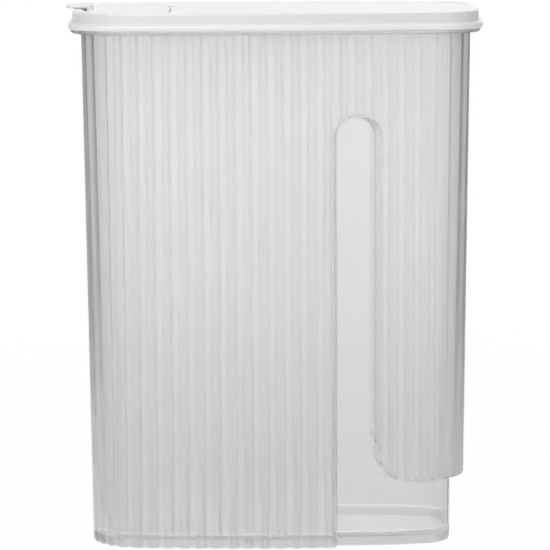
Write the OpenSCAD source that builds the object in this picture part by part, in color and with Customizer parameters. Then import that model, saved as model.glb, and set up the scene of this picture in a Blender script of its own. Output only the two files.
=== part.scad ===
// Cereal container with a flip spout.
// A drafted, fluted body with a smooth grip recess, a press-on lid and a hinged flap.
// X runs along the width, spout end at -X and grip end at +X. Y runs along the depth.
// Z is up from the foot, with the origin at the middle of the foot.

/* [Planform] */
// Width over the collar, along X
collar_w = 223.8; // [180:0.2:300]
// Depth over the collar, along Y
collar_d = 110.6; // [90:0.2:140]
// How far the long sides bow outwards
side_bow = 6.9; // [4:0.1:10]
// How far the ends bow outwards
end_bow = 3; // [2:0.1:5]
// Corner radius of the collar
corner_r = 23; // [20:0.5:28]
// Corner radius of the ribbed wall at the foot
foot_r = 30; // [22:0.5:34]

/* [Body] */
// Height of the underside of the collar above the foot
collar_z = 284.4; // [230:0.5:360]
// How far the walls lean in on each side, from the collar down to the foot
draft_in = 3.7; // [2:0.1:6]
// Wall thickness
wall = 1.4; // [1:0.1:1.8]
// Height of the upper face of the floor
floor_z = 7.2; // [5:0.1:12]
// Thickness of the floor
floor_t = 2.6; // [1.6:0.1:4]

/* [Ribs] */
// Distance from one rib to the next along the wall
rib_pitch = 8.85; // [7.6:0.05:12]
// Distance of the middle rib of each long side from the middle of the body
rib_shift = 1.7; // [0:0.1:4]
// Height of a rib above the groove beside it
rib_depth = 2; // [1:0.1:2.6]
// Width of a rib at its foot
rib_w = 5.9; // [5:0.1:6.6]
// Width of the round flank on each side of a rib
rib_flank = 1; // [0.6:0.1:1.4]

/* [Grip recess] */
// Depth of the smooth recess below the faces of the ribs
recess_in = 7.2; // [4:0.1:9]
// Distance of the middle of the finger slot from the middle of the body
slot_x = 44.6; // [30:0.2:55]
// Width of the finger slot
slot_w = 26.2; // [20:0.2:32]
// Width of the slope beside the grip panel
grip_slope = 6.4; // [1:0.1:7]
// Width of the slope under the grip panel
panel_slope = 2.5; // [1:0.1:4]
// Width of the slope on the other side of the finger slot and along its arch
slot_slope = 2.3; // [0.5:0.1:4]
// Height of the top of the finger slot's arch
slot_top = 240; // [160:1:262]
// Height of the lower edge of the ribbed grip panel
panel_z = 37.5; // [20:0.5:60]
// Radius of the lower corner of the ribbed grip panel
panel_r = 18.5; // [8:0.5:24]

/* [Rim] */
// Overhang of the collar beyond the ribs
collar_out = 4.7; // [4.3:0.1:6.5]
// Height of the outer face of the collar
collar_h = 1.7; // [1.5:0.1:4]
// How far the collar stands out beyond the lid's skirt
collar_lip = 1; // [0.4:0.1:1.6]
// Radius along the collar's lower edge
collar_edge_r = 1.4; // [0.6:0.1:1.5]
// Thickness of the ledge that joins the wall to the rim
ledge_t = 2; // [1.4:0.1:2.4]
// Height of the rim above the top of the collar
rim_h = 7.9; // [6:0.1:12]
// Thickness of the rim
rim_t = 1.5; // [1:0.1:2]

/* [Lid] */
// Thickness of the lid's skirt
skirt_t = 1.4; // [1:0.1:2]
// Height of the bead along the lower edge of the skirt
bead_h = 3.6; // [3:0.1:4.6]
// How far the bead stands out from the skirt
bead_out = 2.5; // [1.6:0.1:3]
// Radius of the bead's edges
bead_r = 1.5; // [1:0.1:1.5]
// Radius of the hollow between the bead and the skirt
neck_r = 0.8; // [0.5:0.1:1]
// Radius of the lid's top edge
lid_edge_r = 1.6; // [0.8:0.1:2]
// Width of the border round the deck
border_w = 5; // [3:0.1:6]
// Depth of the deck below the border
deck_drop = 1; // [0.4:0.1:1.2]
// Thickness of the deck
deck_t = 1.2; // [1:0.1:2]
// Depth of the sealing wall that goes inside the rim
seal_h = 6; // [3:0.1:9]
// Thickness of the sealing wall
seal_t = 1.1; // [0.8:0.1:1.6]
// Clearance between the lid and the body
lid_gap = 0.3; // [0.2:0.05:0.5]

/* [Flap] */
// Width of the flap, along Y
flap_w = 58; // [44:0.5:62]
// Length of the flap from its free edge to its hinge axis
flap_l = 43.7; // [36:0.1:60]
// Thickness of the flap
flap_t = 1.4; // [1.2:0.1:1.6]
// Radius of the flap's free corners
flap_r = 9; // [6:0.5:14]
// Distance of the flap's free edge from the end of the lid
flap_in = 7.9; // [7.5:0.1:12]
// Clearance round the flap
flap_gap = 0.3; // [0.2:0.05:0.5]
// Depth of the top of the hinge barrel below the deck
barrel_drop = 0.4; // [0.2:0.1:0.8]
// Radius of the hinge barrel
barrel_r = 1.2; // [1.1:0.05:1.4]
// Radius of the hinge pins
pin_r = 0.8; // [0.6:0.05:0.9]
// Running clearance of the hinge pins in their sockets
pin_gap = 0.08; // [0.05:0.01:0.1]
// Length of each hinge pin beyond the flap's edge
pin_l = 3; // [2:0.1:4]
// Land that the flap rests on, round the pour opening
seat_w = 4.2; // [3:0.1:6]
// Depth of the plug ring under the flap
plug_h = 2.4; // [1.5:0.1:3]
// Thickness of the plug ring
plug_t = 1.2; // [0.9:0.1:1.6]
// Width of the thumb tab
tab_w = 22; // [14:0.5:30]
// How far the thumb tab stands out beyond the end of the lid
tab_out = 4; // [2:0.1:6]
// Height of the thumb tab above the lid
tab_h = 2.6; // [2:0.1:4]

/* [Hidden] */
over = 1; // how far a cut runs past the face it opens
sink = 0.5; // how far a raised feature is rooted in what carries it

// Planform: four wide arcs joined by four tangent corner arcs. A form is [corner radius at no inset,
// corner centre, angle where the long side ends, angle where the end begins].
half_w = collar_w / 2;
half_d = collar_d / 2;
side_r = (half_w * half_w + side_bow * side_bow) / (2 * side_bow);
end_r = (half_d * half_d + end_bow * end_bow) / (2 * end_bow);
side_c = [0, side_r - half_d];
end_c = [half_w - end_r, 0];
centre_gap = norm(end_c - side_c);
centre_dir = (end_c - side_c) / centre_gap;

function corner_at(radius) =
    let (along = (centre_gap * centre_gap + pow(side_r - radius, 2) - pow(end_r - radius, 2)) / (2 * centre_gap))
    let (across = sqrt(pow(side_r - radius, 2) - along * along))
    side_c + along * centre_dir + across * [-centre_dir[1], centre_dir[0]];

function form(radius) =
    let (c = corner_at(radius))
    [radius, c, atan2(c[0], side_c[1] - c[1]), 90 - atan2(-c[1], c[0] - end_c[0])];

// Lengths of the long side, the corner and the end along one quarter of a form.
function lengths(form, inset) =
    [(side_r - inset) * form[2], (form[0] - inset) * (form[3] - form[2]), (end_r - inset) * (90 - form[3])] * PI / 180;

function total(v) = v[0] + v[1] + v[2];

// The collar, the lid and the top of the wall share one form; the wall's corners open out towards the foot.
foot_in = collar_out + draft_in;
top_form = form(corner_r);
foot_form = form(foot_in + foot_r);
top_len = lengths(top_form, collar_out);
foot_len = lengths(foot_form, foot_in);
quarter = total(top_len);

// Ribs: evenly spaced on each long side, with the rest shared out round each end.
side_ribs = floor(0.9 * half_w / rib_pitch);
right_edge = side_ribs * rib_pitch + rib_shift;
left_edge = side_ribs * rib_pitch - rib_shift;
right_count = round(2 * (quarter - right_edge) / rib_pitch);
left_count = round(2 * (quarter - left_edge) / rib_pitch);
right_pitch = 2 * (quarter - right_edge) / right_count;
left_pitch = 2 * (quarter - left_edge) / left_count;
ribs = concat(
    [for (i = [-side_ribs : side_ribs]) rib_shift + i * rib_pitch],
    [for (i = [1 : right_count - 1]) right_edge + i * right_pitch],
    [for (i = [-side_ribs : side_ribs]) 2 * quarter - rib_shift + i * rib_pitch],
    [for (i = [1 : left_count - 1]) 2 * quarter + left_edge + i * left_pitch]
);

// Heights of the body
ledge_z = collar_z + ledge_t;
collar_top = collar_z + collar_h;
rim_top = collar_top + rim_h;
foot_h = floor_z - floor_t;
// Distance of the ribs' faces from the middle plane beside the finger slot, at the foot
recess_y = half_d - foot_in - side_bow * pow((slot_x + slot_w / 2 + panel_r / 2) / half_w, 2);

// Lid
rim_in = skirt_t + lid_gap;
skirt_z = collar_top + lid_gap;
deck_z = rim_top + lid_gap;
deck_top = deck_z + deck_t;
lid_top = deck_top + deck_drop;
seal_in = rim_in + rim_t + lid_gap;
border_slope = 1.5;
tip = 0.4; // chamfer on the edges of the rim and the sealing wall

// Flap, flush with the deck
free_x = -half_w + flap_in;
axis_x = free_x + flap_l;
axis_z = deck_top - barrel_drop - barrel_r;
flap_z = deck_top - flap_t;
tray_top = flap_z - flap_gap;
tray_t = 1.3;
trough_r = deck_top - axis_z + flap_gap;
hinge_room = barrel_r + 1.9;
lug_w = pin_l + 1.5;
pin_play = 0.3; // end play of each hinge pin

// Angle of the normal, turning from the front towards the end, at a length d along a quarter.
function turn_at(form, len, d) =
    d < len[0] ? d / len[0] * form[2]
    : d < len[0] + len[1] ? form[2] + (d - len[0]) / len[1] * (form[3] - form[2])
    : form[3] + (d - len[0] - len[1]) / len[2] * (90 - form[3]);

// Point of the front right quarter of a form, from the angle of its normal and its inset.
function quarter_point(form, turn, inset) =
    let (c = turn < form[2] ? side_c : turn < form[3] ? form[1] : end_c)
    let (r = turn < form[2] ? side_r : turn < form[3] ? form[0] : end_r)
    [c[0] + (r - inset) * sin(turn), c[1] - (r - inset) * cos(turn)];

// Length along a quarter at the foot that belongs to a length at the top. Ribs on a long side run straight down.
function foot_length(d) =
    d < top_len[0] ? d : top_len[0] + (d - top_len[0]) * (total(foot_len) - top_len[0]) / (quarter - top_len[0]);

// Quarter that a length u from the middle of the front falls in, and the length along that quarter.
function quarter_of(u) = (floor(u / quarter) + 4) % 4;
function length_in(u) =
    let (rest = u - floor(u / quarter) * quarter)
    quarter_of(u) % 2 == 0 ? rest : quarter - rest;
function mirrored(u, p) =
    let (q = quarter_of(u))
    [q < 2 ? p[0] : -p[0], q == 0 || q == 3 ? p[1] : -p[1]];

// Point of the top form at a length u from the middle of the front.
function plan_point(u, inset) =
    mirrored(u, quarter_point(top_form, turn_at(top_form, top_len, length_in(u)), inset));

// Point of the drafted wall at a length u and a height z, inset from the faces of the ribs.
function wall_point(u, inset, z) =
    let (d = length_in(u))
    let (top = quarter_point(top_form, turn_at(top_form, top_len, d), collar_out + inset))
    let (foot = quarter_point(foot_form, turn_at(foot_form, foot_len, foot_length(d)), foot_in + inset))
    let (p = mirrored(u, foot + (top - foot) * z / collar_z))
    [p[0], p[1], z];

// Stations of a smooth ring, closer together on the corners.
side_steps = 4;
corner_steps = 7;
end_steps = 2;
quarter_stations = concat(
    [for (i = [0 : side_steps - 1]) top_len[0] * i / side_steps],
    [for (i = [0 : corner_steps - 1]) top_len[0] + top_len[1] * i / corner_steps],
    [for (i = [0 : end_steps]) top_len[0] + top_len[1] + top_len[2] * i / end_steps]
);
last = len(quarter_stations) - 1;
smooth_ring = [
    for (q = [0 : 3], i = [0 : last - 1])
        q * quarter + (q % 2 == 0 ? quarter_stations[i] : quarter - quarter_stations[last - i])
];
// Stations of a ring at groove depth, one on each rib and one in the middle of each groove.
groove_ring = [
    for (i = [0 : len(ribs) - 1])
        let (next = i < len(ribs) - 1 ? ribs[i + 1] : ribs[0] + 4 * quarter)
        each [ribs[i], (ribs[i] + next) / 2]
];

// Solid through a list of loops of points, closed by its first and its last loop.
module lofted(loops) {
    n = len(loops[0]);
    m = len(loops);
    polyhedron(
        points = [for (loop = loops) each loop],
        faces = concat(
            [[for (i = [0 : n - 1]) i]],
            [[for (i = [0 : n - 1]) m * n - 1 - i]],
            [for (j = [0 : m - 2], i = [0 : n - 1])
                [j * n + i, j * n + n + i, j * n + n + (i + 1) % n, j * n + (i + 1) % n]]
        )
    );
}

// Solid through a path of [inset, height] rings of the top form.
module rings(path) {
    lofted([for (p = path) [for (u = smooth_ring) let (q = plan_point(u, p[0])) [q[0], q[1], p[1]]]]);
}

// Drafted solid between two heights.
module drafted(stations, inset, z0, z1) {
    lofted([for (z = [z0, z1]) [for (u = stations) wall_point(u, inset, z)]]);
}

// Section of a rib as [offset along the wall, extra inset], with a round or bevelled flank on each side.
function rib_section(narrow, steps) = [
    for (side = [-1, 1])
        each concat(
            [[side * (rib_w / 2 - narrow), rib_depth + sink]],
            [for (i = [0 : steps])
                let (a = steps == 0 ? 90 : 90 * i / steps)
                [side * (rib_w / 2 - narrow - rib_flank * (1 - cos(a))), rib_depth * (1 - sin(a))]]
        )
];

// One rib at a length u, from the height z0 to z1, as the hull of its two end sections.
module rib(u, inset, narrow, steps, z0, z1) {
    section = rib_section(narrow, steps);
    ends = [for (z = [z0, z1], s = section) wall_point(u + s[0], inset + s[1], z)];
    hull() polyhedron(points = ends, faces = [[for (i = [0 : len(ends) - 1]) i]]);
}

// Front view of the finger slot from the height -over to its arch.
module slot_plan(left, right, top) {
    r = (right - left) / 2;
    translate([left + r, top - r]) circle(r = r, $fn = 48);
    translate([left, -over]) square([2 * r, top - r + over]);
}

// Cut for the finger slot of one side and the round corner of the grip panel, seen along +Z.
// The inset is nothing for the outside and the wall thickness for the inside.
module slot_cut(inset) {
    grow = 0.75 * inset;
    face = recess_y - inset;
    floor_y = face - recess_in - over;
    skin = 4 * over;
    left = slot_x - slot_w / 2 - grow;
    right = slot_x + slot_w / 2 + grow;
    fillet = panel_r - grow;
    deep = fillet + (grip_slope + panel_slope) / 2;
    low = panel_z + grow;
    hull() {
        translate([0, 0, face]) linear_extrude(height = skin) slot_plan(left, right, slot_top + grow);
        translate([0, 0, floor_y])
            linear_extrude(height = over)
                slot_plan(left + slot_slope, right - grip_slope, slot_top + grow - slot_slope);
    }
    difference() {
        translate([slot_x, low - panel_slope - sink, floor_y])
            cube([right + fillet - slot_x, fillet + panel_slope + sink, recess_in + over + skin]);
        hull() {
            translate([right + fillet, low + fillet, face]) cylinder(r = fillet, h = skin + over, $fn = 48);
            translate([right - grip_slope + deep, low - panel_slope + deep, floor_y - over])
                cylinder(r = deep, h = 2 * over, $fn = 48);
        }
    }
}

// Cut under the grip panel, round the grip end, with a ceiling that slopes down to the floor of the recess.
module panel_cut(inset) {
    low = panel_z + 0.75 * inset;
    rise = over * panel_slope / recess_in;
    difference() {
        translate([slot_x, -half_d, -over]) cube([half_w, collar_d, low + rise + over]);
        lofted([
            [for (u = smooth_ring) wall_point(u, inset + recess_in, low - panel_slope)],
            [for (u = smooth_ring) wall_point(u, inset - over, low + rise)]
        ]);
    }
}

// Fluted outside of the wall, or the space inside it when inset by the wall.
module fluted_form(inset, narrow, steps, z0, z1) {
    tilt = draft_in / collar_z;
    difference() {
        union() {
            drafted(groove_ring, inset + rib_depth, z0, z1);
            for (u = ribs) rib(u, inset, narrow, steps, z0, z1);
        }
        for (side = [0, 1])
            mirror([0, side, 0])
                multmatrix([[1, 0, 0, 0], [0, 1, -tilt, 0], [0, 0, 1, 0], [0, 0, 0, 1]])
                    rotate([90, 0, 0])
                        slot_cut(inset);
        panel_cut(inset);
    }
    drafted(smooth_ring, inset + recess_in, z0, z1);
}

// Collar, ledge and rim, solid inside.
module rim_form() {
    rings(concat(
        profile_arc([collar_edge_r - collar_lip, collar_z + collar_edge_r], collar_edge_r, -90, 0, 4),
        [[-collar_lip, collar_top], [rim_in, collar_top], [rim_in, rim_top - tip], [rim_in + tip, rim_top]]
    ));
}

module mouth_cut() {
    inner = rim_in + rim_t;
    rings([[inner, ledge_z], [inner, rim_top - tip], [inner - tip - over, rim_top + over]]);
}

module container() {
    color([0.9, 0.92, 0.93, 0.55])
        difference() {
            union() {
                fluted_form(0, 0, 2, 0, ledge_z);
                rim_form();
            }
            mouth_cut();
            difference() {
                fluted_form(wall, 0.7 * wall, 0, -over, ledge_z + over);
                translate([-half_w, -half_d, foot_h]) cube([collar_w, collar_d, floor_t]);
            }
        }
}

// Points of an arc in a profile, centred at [inset, height]. Angle 0 points outwards.
function profile_arc(c, r, a0, a1, steps) = [
    for (i = [0 : steps])
        let (a = a0 + (a1 - a0) * i / steps)
        [c[0] - r * cos(a), c[1] + r * sin(a)]
];

// Deck, sealing wall, skirt with its bead, round top edge and border.
module lid_shell() {
    bead_top = skirt_z + bead_h;
    rings(concat(
        [[seal_in + seal_t, deck_z], [seal_in + seal_t, deck_z - seal_h],
         [seal_in + tip, deck_z - seal_h], [seal_in, deck_z - seal_h + tip], [seal_in, deck_z],
         [skirt_t, deck_z], [skirt_t, skirt_z]],
        profile_arc([bead_r - bead_out, skirt_z + bead_r], bead_r, -90, 0, 3),
        profile_arc([bead_r - bead_out, bead_top - bead_r], bead_r, 0, 90, 3),
        profile_arc([-neck_r, bead_top + neck_r], neck_r, 270, 180, 3),
        profile_arc([lid_edge_r, lid_top - lid_edge_r], lid_edge_r, 0, 90, 4),
        [[border_w, lid_top], [border_w + border_slope, deck_top]]
    ));
}

// Flap outline in plan: round free corners, square at the hinge.
module flap_plan(grow, back) {
    r = flap_r + grow;
    x = free_x - grow;
    y = flap_w / 2 + grow;
    for (side = [-1, 1]) translate([x + r, side * (y - r)]) circle(r = r, $fn = 64);
    translate([x, -y + r]) square([r + sink, 2 * (y - r)]);
    translate([x + r, -y]) square([back - x - r, 2 * y]);
}

// Rounded rectangle of the pour opening, less a margin.
module pour_plan(margin) {
    x0 = free_x + seat_w + margin;
    x1 = axis_x - trough_r - seat_w - margin;
    y = flap_w / 2 - seat_w - margin;
    r = flap_r - 2 - margin;
    for (x = [x0 + r, x1 - r], side = [-1, 1]) translate([x, side * (y - r)]) circle(r = r, $fn = 48);
    translate([x0, -y + r]) square([x1 - x0, 2 * (y - r)]);
    translate([x0 + r, -y]) square([x1 - x0 - 2 * r, 2 * y]);
}

// Block under the deck with the trough for the hinge barrel and a socket for each hinge pin.
module hinge_block() {
    back = axis_x + hinge_room + tray_t;
    front = axis_x - trough_r - tray_t;
    y = flap_w / 2 + flap_gap + lug_w;
    low = axis_z - trough_r - tray_t;
    translate([front, -y, low]) cube([back - front, 2 * y, deck_z + sink - low]);
}

module lid() {
    color([0.97, 0.97, 0.96])
        difference() {
            union() {
                lid_shell();
                translate([0, 0, tray_top - tray_t])
                    linear_extrude(height = deck_z + sink - tray_top + tray_t)
                        flap_plan(flap_gap + tray_t, axis_x);
                hinge_block();
            }
            translate([0, 0, tray_top])
                linear_extrude(height = lid_top)
                    flap_plan(flap_gap, axis_x + hinge_room);
            translate([axis_x, 0, axis_z])
                rotate([90, 0, 0]) {
                    cylinder(r = trough_r, h = flap_w + 2 * flap_gap, center = true, $fn = 48);
                    cylinder(r = pin_r + pin_gap, h = flap_w + 2 * (flap_gap + pin_l + pin_play),
                        center = true, $fn = 48);
                }
            translate([0, 0, tray_top - tray_t - over])
                linear_extrude(height = lid_top)
                    pour_plan(0);
        }
}

// Thumb tab: a soft wedge that is thin at its tip and lies over the lid's border.
module thumb_tab() {
    soft = 0.9;
    root = tab_h / 2;
    tip_x = -half_w - tab_out;
    under = lid_top + 0.7 * flap_gap;
    hull() {
        for (side = [-1, 1]) {
            translate([tip_x + 4 * soft, side * (tab_w / 2 - 4 * soft), under + soft])
                rotate_extrude($fn = 32) translate([3 * soft, 0]) circle(r = soft, $fn = 16);
            translate([free_x + root, side * (tab_w / 2 - root), lid_top + tab_h - root]) sphere(r = root, $fn = 24);
        }
    }
    translate([free_x, -tab_w / 2 + root, flap_z + sink]) cube([2 * root, tab_w - 2 * root, flap_t + root - sink]);
}

module flip_flap() {
    color([0.97, 0.97, 0.96]) {
        translate([0, 0, flap_z]) linear_extrude(height = flap_t) flap_plan(0, axis_x);
        translate([axis_x, 0, axis_z])
            rotate([90, 0, 0]) {
                cylinder(r = barrel_r, h = flap_w, center = true, $fn = 48);
                cylinder(r = pin_r, h = flap_w + 2 * (flap_gap + pin_l), center = true, $fn = 48);
            }
        translate([0, 0, flap_z - plug_h])
            linear_extrude(height = plug_h + sink)
                difference() {
                    pour_plan(flap_gap);
                    pour_plan(flap_gap + plug_t);
                }
        thumb_tab();
    }
}

container();
lid();
flip_flap();
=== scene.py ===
"""Cereal container with a flip spout: finishes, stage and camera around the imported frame."""

import math

import bpy
from mathutils import Matrix, Vector

bl_info = {
    "name": "Cereal Container",
    "version": (1, 0, 0),
    "blender": (4, 5, 0),
    "location": "View3D > Sidebar > Cereal Container",
    "description": "Frosted body, satin lid and flap, and a white studio for a cereal container",
    "category": "Object",
}

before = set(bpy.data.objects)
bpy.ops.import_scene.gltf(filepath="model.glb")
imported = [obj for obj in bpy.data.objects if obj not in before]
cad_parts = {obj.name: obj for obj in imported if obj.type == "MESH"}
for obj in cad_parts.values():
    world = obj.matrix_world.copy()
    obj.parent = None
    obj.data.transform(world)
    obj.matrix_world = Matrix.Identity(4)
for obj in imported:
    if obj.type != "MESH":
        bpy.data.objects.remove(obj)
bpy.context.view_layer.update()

RENDER_SIDE = 550  # pixels along each side of the render
SENSOR = 36.0  # millimetres
CAMERA_REACH = 20.0  # metres
WHITE = (1, 1, 1)

# places and sizes on the object, in metres, with the middle of its foot at 0
SLOT_X = 0.0446  # centre line of the grip slot
SLOT_TOP = 0.24  # top of the slot's round end
SLOT_R = 0.0131  # half the slot's width
CORNER_X = 0.087  # centres of the wall's corner circles
CORNER_Y = 0.031
HINGE_X = -0.0603  # hinge line of the flap

# Each pair below gives the value at which a mask is 0 and the value at which it is 1. They are
# places in metres, apart from the last two.
SLOT_EDGE = (SLOT_R + 0.0012, SLOT_R + 0.0002)  # distance from the slot's centre line
SUNK_WALL = (0.0505, 0.049)  # distance from the middle, across the body
PAST_SLOT = (0.0308, 0.0322)  # place along the body
BELOW_PANEL = (0.0395, 0.0372)  # height
ABOVE_FLOOR = (0.0074, 0.0084)  # height
FLOOR_LEVEL = (0.009, 0.0085)  # height
NEAR_FLOOR = (0.3, 0.0)  # height
NARROW_END = (0.085, 0.108)  # distance from the middle, along the body
END_FLUTES_FROM = (0.088, 0.1)  # distance from the middle, along the body
END_FLUTES_TO = (0.108, 0.105)  # distance from the middle, along the body
END_FLUTES_FADE = (-0.02, 0.16)  # height
FLOOR_EDGE_TOP = (0.0085, 0.0078)  # height
FLOOR_EDGE_FOOT = (0.005, 0.0058)  # height
FOOT_SKIRT = (0.0058, 0.005)  # height
BEAD_TOP = (0.2894, 0.2888)  # height
TROUGH_SIDE = (0.0036, 0.0026)  # distance from the hinge line
TROUGH_END = (0.0315, 0.0305)  # distance from the middle, across the body
TROUGH_TOP = (0.2953, 0.295)  # height
LEVEL_FACE = (0.8, 0.95)  # upright part of the surface's direction, which has length 1
ACROSS_WALL = (0.75, 0.5)  # its part straight out of the wall

# the moulded plastic
ROUGHNESS_SPREAD = 0.03
GRAIN_STRENGTH = 0.5
GRAIN_HEIGHT = 0.00001  # metres

# the stage
FLOOR_SIZE = 60  # metres
FLOOR_COLOUR = (0.95, 0.95, 0.95)
FLOOR_WHITE = 0.97  # share of plain white that the camera sees beside the object
FLOOR_FADE = (0.2, 0.9)  # distances from the middle, in metres, between which that share grows to 1
ROOM_LIGHT = (0.2, 0.2, 0.2)
LAMP_TARGET = (0, 0, 0.15)


# ---------------------------------------------------------------- settings


class BodySettings(bpy.types.PropertyGroup):
    colour: bpy.props.FloatVectorProperty(
        name="Colour", description="Colour of the wall near the collar",
        subtype="COLOR", size=3, min=0, max=1, default=(0.935, 0.935, 0.938))
    # painted shade: the wall is painted darker towards the floor, where less light reaches it
    painted_low_shade: bpy.props.FloatVectorProperty(
        name="Low painted shade", description="Colour of the wall near the floor",
        subtype="COLOR", size=3, min=0, max=1, default=(0.815, 0.815, 0.818))
    # painted shade: the skirt under the floor is painted darker
    foot_painted_shade: bpy.props.FloatVectorProperty(
        name="Foot painted shade", description="Colour of the skirt under the floor",
        subtype="COLOR", size=3, min=0, max=1, default=(0.72, 0.72, 0.723))
    # painted light: the flat floor and the wall at its edge are painted white
    floor_painted_light: bpy.props.FloatVectorProperty(
        name="Floor painted light", description="Colour of the flat floor and of the wall at its edge",
        subtype="COLOR", size=3, min=0, max=1, default=(1.0, 1.0, 1.0))
    # painted light: the wall round the narrow ends is painted lighter
    end_painted_light: bpy.props.FloatVectorProperty(
        name="End painted light", description="Colour of the wall round the narrow ends",
        subtype="COLOR", size=3, min=0, max=1, default=(0.97, 0.97, 0.973))
    # painted shade: the faces across the wall are painted darker, beyond what the longer path through the
    # plastic gives
    flank_painted_shade: bpy.props.FloatVectorProperty(
        name="Flank painted shade",
        description="Colour of the faces across the wall, where light goes through more plastic",
        subtype="COLOR", size=3, min=0, max=1, default=(0.62, 0.62, 0.623))
    # share of that painted shade on the sides of the grip recess
    recess_flank: bpy.props.FloatProperty(
        name="Recess flank", description="Share of the flank colour on the sides of the grip recess",
        subtype="FACTOR", min=0, max=1, default=0.45)
    # painted light: the smooth grip recess is painted lighter with white
    recess_painted_light: bpy.props.FloatProperty(
        name="Recess painted light", description="Share of white in the colour of the smooth grip recess",
        subtype="FACTOR", min=0, max=1, default=0.2)
    clearness: bpy.props.FloatProperty(
        name="Clearness", description="Share of the light that passes through the wall",
        subtype="FACTOR", min=0, max=1, default=0.82)
    refraction: bpy.props.FloatProperty(
        name="Refraction", description="Refractive index of the wall",
        min=1, max=2, default=1.17)
    frost: bpy.props.FloatProperty(
        name="Frost", description="Roughness of the fluted walls near the collar",
        subtype="FACTOR", min=0, max=1, default=0.5)
    low_frost: bpy.props.FloatProperty(
        name="Low frost", description="Roughness of the fluted walls near the floor",
        subtype="FACTOR", min=0, max=1, default=0.9)
    polish: bpy.props.FloatProperty(
        name="Polish", description="Roughness of the smooth grip recess and the flat floor",
        subtype="FACTOR", min=0, max=1, default=0.03)


class LidSettings(bpy.types.PropertyGroup):
    colour: bpy.props.FloatVectorProperty(
        name="Colour", description="Colour of the lid and the flap",
        subtype="COLOR", size=3, min=0, max=1, default=(0.86, 0.86, 0.86))
    # painted highlight along the bead round the lid's lower edge
    bead_painted_highlight: bpy.props.FloatVectorProperty(
        name="Bead painted highlight", description="Colour of the bead round the lid's lower edge",
        subtype="COLOR", size=3, min=0, max=1, default=(0.97, 0.97, 0.97))
    # painted light inside the hinge trough, where shade falls
    hinge_painted_light: bpy.props.FloatVectorProperty(
        name="Hinge painted light", description="Colour inside the hinge trough",
        subtype="COLOR", size=3, min=0, max=1, default=(1.0, 1.0, 1.0))
    roughness: bpy.props.FloatProperty(
        name="Roughness", description="Roughness of the satin plastic",
        subtype="FACTOR", min=0, max=1, default=0.25)


class StageSettings(bpy.types.PropertyGroup):
    distance: bpy.props.FloatProperty(
        name="Camera distance", description="Distance of the camera in front of the object",
        subtype="DISTANCE", unit="LENGTH", min=0.5, default=1.9268)
    height: bpy.props.FloatProperty(
        name="Camera height", description="Height of the camera above the foot",
        subtype="DISTANCE", unit="LENGTH", min=0, default=0.4081)
    sideways: bpy.props.FloatProperty(
        name="Camera offset", description="Offset of the camera along the turned width",
        subtype="DISTANCE", unit="LENGTH", default=-0.0010)
    turn: bpy.props.FloatProperty(
        name="Turn", description="How far the camera is turned round the object",
        subtype="ANGLE", unit="ROTATION", default=0.0)
    pitch: bpy.props.FloatProperty(
        name="Pitch", description="How far the camera looks down",
        subtype="ANGLE", unit="ROTATION", default=0.135)
    roll: bpy.props.FloatProperty(
        name="Roll", description="Roll of the camera",
        subtype="ANGLE", unit="ROTATION", default=-0.005)
    focal: bpy.props.FloatProperty(
        name="Focal length", description="Focal length in pixels of the render",
        min=100, default=3471.0)


# ---------------------------------------------------------------- node helpers


def feed(tree, sockets, values):
    """Links each input socket to its value, or sets it where the value is fixed."""
    for socket, value in zip(sockets, values):
        if isinstance(value, bpy.types.NodeSocket):
            tree.links.new(value, socket)
        else:
            socket.default_value = value


def number(tree, operation, *values):
    """Result of a Math node."""
    node = tree.nodes.new("ShaderNodeMath")
    node.operation = operation
    feed(tree, node.inputs, values)
    return node.outputs["Value"]


def vector(tree, operation, *values):
    """Result of a Vector Math node."""
    node = tree.nodes.new("ShaderNodeVectorMath")
    node.operation = operation
    feed(tree, node.inputs, values)
    return node.outputs["Value" if operation in ("DOT_PRODUCT", "LENGTH") else "Vector"]


def ramp(tree, value, limits, results=(0, 1)):
    """Value that runs smoothly from one result at the first limit to the other at the second."""
    node = tree.nodes.new("ShaderNodeMapRange")
    node.interpolation_type = "SMOOTHSTEP"
    labels = ("Value", "From Min", "From Max", "To Min", "To Max")
    feed(tree, [node.inputs[label] for label in labels], (value, *limits, *results))
    return node.outputs["Result"]


def blend(tree, share, first, second):
    """Colour that runs from the first to the second as the share goes from 0 to 1."""
    node = tree.nodes.new("ShaderNodeMix")
    node.data_type = "RGBA"
    tree.links.new(share, node.inputs["Factor"])
    for label, colour in (("A", first), ("B", second)):
        if isinstance(colour, bpy.types.NodeSocket):
            tree.links.new(colour, node.inputs[label])
        else:
            node.inputs[label].default_value = (*colour, 1)
    return node.outputs["Result"]


def blend_numbers(tree, share, first, second):
    """Number that runs from the first to the second as the share goes from 0 to 1."""
    node = tree.nodes.new("ShaderNodeMix")
    feed(tree, [node.inputs[label] for label in ("Factor", "A", "B")], (share, first, second))
    return node.outputs["Result"]


def object_place(tree):
    """Point of the surface in the object's own coordinates, in metres."""
    return tree.nodes.new("ShaderNodeTexCoord").outputs["Object"]


def surface_direction(tree):
    """Direction that the surface faces."""
    return tree.nodes.new("ShaderNodeNewGeometry").outputs["Normal"]


def split(tree, source):
    """The X, Y and Z parts of a vector."""
    node = tree.nodes.new("ShaderNodeSeparateXYZ")
    tree.links.new(source, node.inputs["Vector"])
    return tuple(node.outputs)


# ---------------------------------------------------------------- materials


def new_material(name):
    """A new material, its node tree and its shader."""
    material = bpy.data.materials.new(name)
    material.use_nodes = True
    tree = material.node_tree
    return material, tree, tree.nodes["Principled BSDF"]


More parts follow.
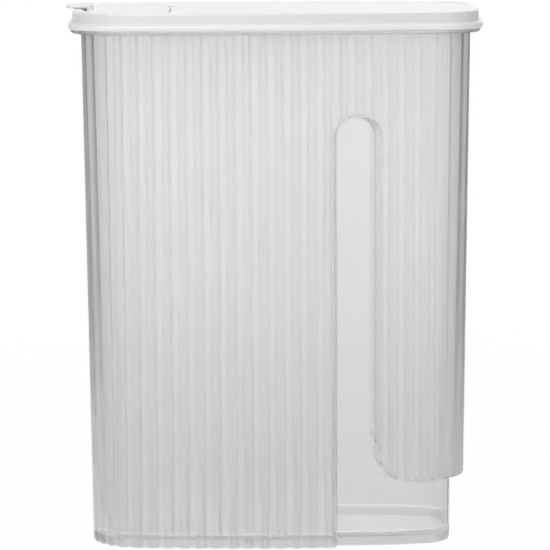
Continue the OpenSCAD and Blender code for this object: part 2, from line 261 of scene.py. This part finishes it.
def moulded_surface_group():
    """Fine texture of moulded plastic: colour mottling, roughness and height."""
    name = "Moulded Surface"
    if name in bpy.data.node_groups:
        return bpy.data.node_groups[name]
    group = bpy.data.node_groups.new(name, "ShaderNodeTree")
    face = group.interface
    colour_in = face.new_socket("Colour", in_out="INPUT", socket_type="NodeSocketColor")
    colour_in.default_value = (0.8, 0.8, 0.8, 1)
    defaults = (("Mottle", 0.02), ("Roughness", 0.4), ("Roughness spread", 0.05), ("Grain size", 900.0))
    for label, value in defaults:
        socket = face.new_socket(label, in_out="INPUT", socket_type="NodeSocketFloat")
        socket.default_value = value
    face.new_socket("Colour", in_out="OUTPUT", socket_type="NodeSocketColor")
    face.new_socket("Roughness", in_out="OUTPUT", socket_type="NodeSocketFloat")
    face.new_socket("Height", in_out="OUTPUT", socket_type="NodeSocketFloat")
    given = group.nodes.new("NodeGroupInput").outputs
    result = group.nodes.new("NodeGroupOutput").inputs
    place = object_place(group)

    grain = group.nodes.new("ShaderNodeTexNoise")
    grain.inputs["Detail"].default_value = 3
    feed(group, (grain.inputs["Vector"], grain.inputs["Scale"]), (place, given["Grain size"]))
    feed(group, [result["Height"]], [grain.outputs["Fac"]])

    cloud = group.nodes.new("ShaderNodeTexNoise")
    cloud.inputs["Scale"].default_value = 14
    cloud.inputs["Detail"].default_value = 4
    feed(group, [cloud.inputs["Vector"]], [place])
    terms = (cloud.outputs["Fac"], given["Roughness spread"], given["Roughness"])
    feed(group, [result["Roughness"]], [number(group, "MULTIPLY_ADD", *terms)])

    centred = number(group, "SUBTRACT", cloud.outputs["Fac"], 0.5)
    shade = group.nodes.new("ShaderNodeHueSaturation")
    level = number(group, "MULTIPLY_ADD", centred, given["Mottle"], 1.0)
    feed(group, (shade.inputs["Value"], shade.inputs["Color"]), (level, given["Colour"]))
    feed(group, [result["Colour"]], [shade.outputs["Color"]])
    return group


def mould(tree, bsdf, colour, roughness, mottle, grain_size):
    """Gives the shader the moulded surface, with a colour and a roughness from a socket or fixed."""
    surface = tree.nodes.new("ShaderNodeGroup")
    surface.node_tree = moulded_surface_group()
    labels = ("Colour", "Mottle", "Roughness", "Roughness spread", "Grain size")
    feed(tree, [surface.inputs[label] for label in labels],
         (colour, mottle, roughness, ROUGHNESS_SPREAD, grain_size))
    bump = tree.nodes.new("ShaderNodeBump")
    feed(tree, [bump.inputs[label] for label in ("Strength", "Distance", "Height")],
         (GRAIN_STRENGTH, GRAIN_HEIGHT, surface.outputs["Height"]))
    feed(tree, [bsdf.inputs[label] for label in ("Base Color", "Roughness", "Normal")],
         (surface.outputs["Colour"], surface.outputs["Roughness"], bump.outputs["Normal"]))


def recess_mask(tree, x, y, z):
    """Mask of the smooth grip recess: the slot with its round top, and the part below the panel."""
    sunk = ramp(tree, number(tree, "ABSOLUTE", y), SUNK_WALL)
    # the slot runs straight up to the centre of its round top
    across = number(tree, "SUBTRACT", x, SLOT_X)
    above = number(tree, "MAXIMUM", number(tree, "SUBTRACT", z, SLOT_TOP - SLOT_R), 0)
    offset = tree.nodes.new("ShaderNodeCombineXYZ")
    feed(tree, (offset.inputs["X"], offset.inputs["Z"]), (across, above))
    inside = ramp(tree, vector(tree, "LENGTH", offset.outputs["Vector"]), SLOT_EDGE)
    slot = number(tree, "MULTIPLY", inside, sunk)
    low = number(tree, "MULTIPLY", ramp(tree, x, PAST_SLOT), ramp(tree, z, BELOW_PANEL))
    return number(tree, "MULTIPLY", number(tree, "MAXIMUM", slot, low), ramp(tree, z, ABOVE_FLOOR))


def flat_floor_mask(tree, z):
    """Mask of the level faces of the floor."""
    upward = number(tree, "ABSOLUTE", split(tree, surface_direction(tree))[2])
    return number(tree, "MULTIPLY", ramp(tree, upward, LEVEL_FACE), ramp(tree, z, FLOOR_LEVEL))


def end_flutes_mask(tree, width, z):
    """Mask of the flutes round the narrow ends, which fades towards the foot."""
    past_start = ramp(tree, width, END_FLUTES_FROM)
    at_end = number(tree, "MULTIPLY", past_start, ramp(tree, width, END_FLUTES_TO))
    return number(tree, "MULTIPLY", at_end, ramp(tree, z, END_FLUTES_FADE))


def floor_edge_mask(tree, z):
    """Mask of the band where the wall meets the floor."""
    return number(tree, "MULTIPLY", ramp(tree, z, FLOOR_EDGE_TOP), ramp(tree, z, FLOOR_EDGE_FOOT))


def across_wall_mask(tree, place):
    """Mask of the faces that stand across the wall, such as the flanks of the flutes."""
    # a metre is higher than the whole body, so the outward direction stays level
    past_corner = vector(tree, "SUBTRACT", vector(tree, "ABSOLUTE", place), (CORNER_X, CORNER_Y, 1))
    past_corner = vector(tree, "MAXIMUM", past_corner, (0, 0, 0))
    outward = vector(tree, "MULTIPLY", past_corner, vector(tree, "SIGN", place))
    outward = vector(tree, "NORMALIZE", outward)
    along = vector(tree, "DOT_PRODUCT", outward, surface_direction(tree))
    return ramp(tree, number(tree, "ABSOLUTE", along), ACROSS_WALL)


def frosted_body(look):
    """Frosted polypropylene with fluted walls and a smooth, clear grip recess."""
    material, tree, bsdf = new_material("Frosted Polypropylene")
    place = object_place(tree)
    x, y, z = split(tree, place)
    width = number(tree, "ABSOLUTE", x)
    flat = flat_floor_mask(tree, z)
    polished = number(tree, "MAXIMUM", recess_mask(tree, x, y, z), flat)
    lowness = ramp(tree, z, NEAR_FLOOR)
    # where the painted flank shade goes: the flutes at the ends and the sides of the recess
    recess_sides = number(tree, "MULTIPLY", polished, look.recess_flank)
    flank_share = number(tree, "MAXIMUM", end_flutes_mask(tree, width, z), recess_sides)
    flank = number(tree, "MULTIPLY", across_wall_mask(tree, place), flank_share)

    # painted shade: the wall darkens towards the floor
    shade = blend(tree, lowness, look.colour, look.painted_low_shade)
    # painted light: white mixed into the grip recess
    shade = blend(tree, number(tree, "MULTIPLY", polished, look.recess_painted_light), shade, WHITE)
    # painted light round the narrow ends
    shade = blend(tree, ramp(tree, width, NARROW_END), shade, look.end_painted_light)
    # painted shade on the flanks across the wall
    shade = blend(tree, flank, shade, look.flank_painted_shade)
    # painted shade on the foot skirt under the floor
    shade = blend(tree, ramp(tree, z, FOOT_SKIRT), shade, look.foot_painted_shade)
    # painted light on the band where the wall meets the floor and on the flat floor
    shade = blend(tree, floor_edge_mask(tree, z), shade, look.floor_painted_light)
    shade = blend(tree, flat, shade, look.floor_painted_light)
    frost = blend_numbers(tree, lowness, look.frost, look.low_frost)
    rough = blend_numbers(tree, polished, frost, look.polish)
    mould(tree, bsdf, shade, rough, mottle=0.02, grain_size=900)
    bsdf.inputs["Transmission Weight"].default_value = look.clearness
    bsdf.inputs["IOR"].default_value = look.refraction
    return material


def satin_lid(look):
    """Satin white plastic of the lid and the flap."""
    material, tree, bsdf = new_material("Satin Lid Plastic")
    x, y, z = split(tree, object_place(tree))
    from_hinge = number(tree, "ABSOLUTE", number(tree, "SUBTRACT", x, HINGE_X))
    between_ends = ramp(tree, number(tree, "ABSOLUTE", y), TROUGH_END)
    trough = number(tree, "MULTIPLY", ramp(tree, from_hinge, TROUGH_SIDE), between_ends)
    trough = number(tree, "MULTIPLY", trough, ramp(tree, z, TROUGH_TOP))
    # painted highlight on the bead below this height
    shade = blend(tree, ramp(tree, z, BEAD_TOP), look.colour, look.bead_painted_highlight)
    # painted light in the hinge trough
    shade = blend(tree, trough, shade, look.hinge_painted_light)
    mould(tree, bsdf, shade, look.roughness, mottle=0.01, grain_size=1200)
    return material


def finish_node(node, material, crease=math.radians(35)):
    """Gives a carried-over node its material and smooth shading across its soft edges."""
    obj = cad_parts[node]
    for slot in obj.material_slots:
        slot.material = material
    bpy.ops.object.select_all(action="DESELECT")
    obj.select_set(True)
    bpy.context.view_layer.objects.active = obj
    bpy.ops.object.shade_smooth_by_angle(angle=crease)


# ---------------------------------------------------------------- pieces


class CEREAL_OT_body(bpy.types.Operator):
    """Finish the frosted, fluted body"""

    bl_idname = "cereal.body"
    bl_label = "Body"

    def execute(self, context):
        finish_node("container", frosted_body(context.scene.cereal_body))
        return {"FINISHED"}


class CEREAL_OT_lid(bpy.types.Operator):
    """Finish the satin white lid and its flap"""

    bl_idname = "cereal.lid"
    bl_label = "Lid"

    def execute(self, context):
        material = satin_lid(context.scene.cereal_lid)
        finish_node("lid", material)
        finish_node("flip_flap", material)
        return {"FINISHED"}


# ---------------------------------------------------------------- stage


def area_lamp(name, place, side, power):
    """Square lamp of a given side that shines at the middle of the object."""
    data = bpy.data.lights.new(name, "AREA")
    data.shape = "SQUARE"
    data.size = side
    data.energy = power
    lamp = bpy.data.objects.new(name, data)
    bpy.context.collection.objects.link(lamp)
    lamp.location = place
    aim = Vector(LAMP_TARGET) - Vector(place)
    lamp.rotation_euler = aim.to_track_quat("-Z", "Y").to_euler()


def add_camera(view):
    """Camera that looks at the object from the place and at the angles that the stage's settings give."""
    turned = Matrix.Rotation(-view.turn, 3, "Z")
    eye = turned @ Vector((view.sideways, -view.distance, view.height))
    forward = turned @ Vector((0, math.cos(view.pitch), -math.sin(view.pitch)))
    up = turned @ Vector((0, math.sin(view.pitch), math.cos(view.pitch)))
    right = turned @ Vector((1, 0, 0))
    image_right = math.cos(view.roll) * right + math.sin(view.roll) * up
    image_up = math.cos(view.roll) * up - math.sin(view.roll) * right
    data = bpy.data.cameras.new("Camera")
    data.sensor_width = SENSOR
    data.lens = view.focal * SENSOR / RENDER_SIDE
    data.clip_end = CAMERA_REACH
    camera = bpy.data.objects.new("Camera", data)
    bpy.context.collection.objects.link(camera)
    pose = Matrix((image_right, image_up, -forward)).transposed().to_4x4()
    pose.translation = eye
    camera.matrix_world = pose
    bpy.context.scene.camera = camera


def white_rays(tree):
    """Mask of the rays that see the background: camera, gloss and clear plastic."""
    rays = tree.nodes.new("ShaderNodeLightPath").outputs
    mask = number(tree, "MAXIMUM", rays["Is Camera Ray"], rays["Is Glossy Ray"])
    return number(tree, "MAXIMUM", mask, rays["Is Transmission Ray"])


def floor_material():
    """Pale floor that is white to the camera, and keeps the object's shadow close to it."""
    material, tree, bsdf = new_material("Studio Floor")
    bsdf.inputs["Base Color"].default_value = (*FLOOR_COLOUR, 1)
    bsdf.inputs["Roughness"].default_value = 0.9
    fade = ramp(tree, vector(tree, "LENGTH", object_place(tree)), FLOOR_FADE, (FLOOR_WHITE, 1))
    share = number(tree, "MULTIPLY", white_rays(tree), fade)
    white = tree.nodes.new("ShaderNodeEmission")
    mix = tree.nodes.new("ShaderNodeMixShader")
    feed(tree, mix.inputs, (share, bsdf.outputs["BSDF"], white.outputs["Emission"]))
    feed(tree, [tree.nodes["Material Output"].inputs["Surface"]], [mix.outputs["Shader"]])
    return material


def studio_world():
    """World that lights the object dimly, and is white to the camera."""
    world = bpy.data.worlds.new("Studio")
    world.use_nodes = True
    tree = world.node_tree
    room = tree.nodes["Background"]
    room.inputs["Color"].default_value = (*ROOM_LIGHT, 1)
    white = tree.nodes.new("ShaderNodeBackground")
    white.inputs["Color"].default_value = (*WHITE, 1)
    mix = tree.nodes.new("ShaderNodeMixShader")
    feed(tree, mix.inputs, (white_rays(tree), room.outputs["Background"], white.outputs["Background"]))
    feed(tree, [tree.nodes["World Output"].inputs["Surface"]], [mix.outputs["Shader"]])
    return world


class CEREAL_OT_stage(bpy.types.Operator):
    """Set up the white floor, the soft lamps and the camera"""

    bl_idname = "cereal.stage"
    bl_label = "Stage"

    def execute(self, context):
        scene = context.scene
        scene.view_settings.view_transform = "Standard"
        add_camera(scene.cereal_stage)

        bpy.ops.mesh.primitive_plane_add(size=FLOOR_SIZE, location=(0, 0, 0))
        floor = context.active_object
        floor.name = "floor"
        floor.data.materials.append(floor_material())

        scene.world = studio_world()
        area_lamp("front_lamp", (-0.4, -1.95, 0.75), side=0.8, power=15)
        area_lamp("back_lamp", (0.5, 1.5, 1.5), side=1.0, power=6)
        area_lamp("top_lamp", (0.0, 0.0, 1.7), side=1.2, power=12)
        return {"FINISHED"}


class CEREAL_PT_panel(bpy.types.Panel):
    bl_idname = "CEREAL_PT_panel"
    bl_label = "Cereal Container"
    bl_space_type = "VIEW_3D"
    bl_region_type = "UI"
    bl_category = "Cereal Container"

    def draw(self, context):
        layout = self.layout
        scene = context.scene
        for operator, settings in (
            (CEREAL_OT_body, scene.cereal_body),
            (CEREAL_OT_lid, scene.cereal_lid),
            (CEREAL_OT_stage, scene.cereal_stage),
        ):
            layout.operator(operator.bl_idname)
            for name in settings.bl_rna.properties.keys():
                if name not in ("rna_type", "name"):
                    layout.prop(settings, name)


CLASSES = (
    BodySettings,
    LidSettings,
    StageSettings,
    CEREAL_OT_body,
    CEREAL_OT_lid,
    CEREAL_OT_stage,
    CEREAL_PT_panel,
)
SETTINGS = {
    "cereal_body": BodySettings,
    "cereal_lid": LidSettings,
    "cereal_stage": StageSettings,
}


def register():
    for cls in CLASSES:
        bpy.utils.register_class(cls)
    for name, group in SETTINGS.items():
        setattr(bpy.types.Scene, name, bpy.props.PointerProperty(type=group))


def unregister():
    for name in SETTINGS:
        delattr(bpy.types.Scene, name)
    for cls in reversed(CLASSES):
        bpy.utils.unregister_class(cls)


def main():
    register()
    bpy.ops.cereal.body()
    bpy.ops.cereal.lid()
    bpy.ops.cereal.stage()


if __name__ == "__main__":
    main()
